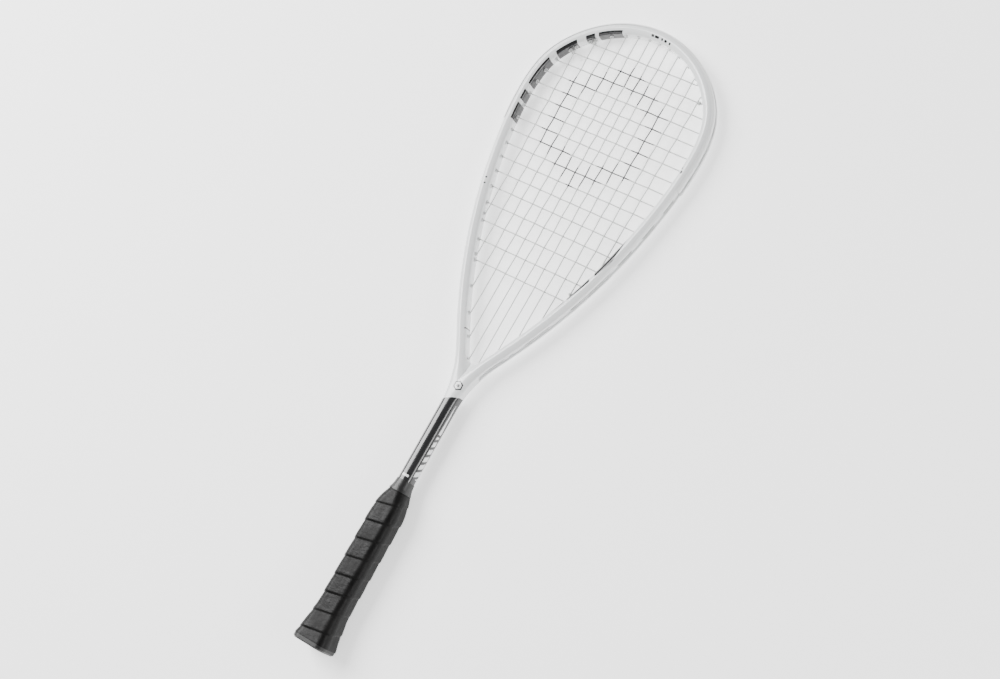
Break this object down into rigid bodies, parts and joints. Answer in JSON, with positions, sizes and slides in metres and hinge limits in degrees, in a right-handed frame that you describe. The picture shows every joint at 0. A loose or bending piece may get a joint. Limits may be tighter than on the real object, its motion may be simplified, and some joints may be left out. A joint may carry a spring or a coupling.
{
  "type": "squash racket",
  "caption": "Strung squash racket with a teardrop head, open throat, slim shaft and wrapped grip.",
  "frame": {"origin": "centre of the butt cap's flat end face, on the racket's long axis", "axes": "+Y from the butt to the head, +X across the head, +Z square to the string bed"},
  "size_m": [0.2152, 0.686, 0.033],
  "materials": {
    "frame_composite": "gloss lacquer over carbon composite, white hoop and black shaft",
    "guard_plastic": "satin moulded nylon",
    "string_nylon": "smooth multifilament nylon",
    "shell_foam": "moulded polyurethane foam",
    "cap_plastic": "moulded plastic",
    "staple_steel": "plain wire",
    "grip_leatherette": "perforation-free polyurethane grip tape",
    "finishing_film": "thin adhesive film",
    "collar_rubber": "soft black rubber"
  },
  "bodies": {
    "racket": {"frame": "frame_composite", "head_guard": "guard_plastic", "side_grommets_left": "guard_plastic", "side_grommets_right": "guard_plastic", "throat_grommets_left": "guard_plastic", "throat_grommets_right": "guard_plastic", "main_string": "string_nylon", "cross_string": "string_nylon", "string_knots": "string_nylon", "handle_shell_front": "shell_foam", "handle_shell_back": "shell_foam", "butt_cap": "cap_plastic", "butt_staples": "staple_steel", "grip_tape": "grip_leatherette", "finishing_tape": "finishing_film"},
    "collar": {"collar": "collar_rubber"}
  },
  "joints": [
    {"name": "collar_slide", "type": "slide", "parent": "racket", "child": "collar", "axis": [0, 1, 0], "range_m": [0, 0.04]}
  ]
}
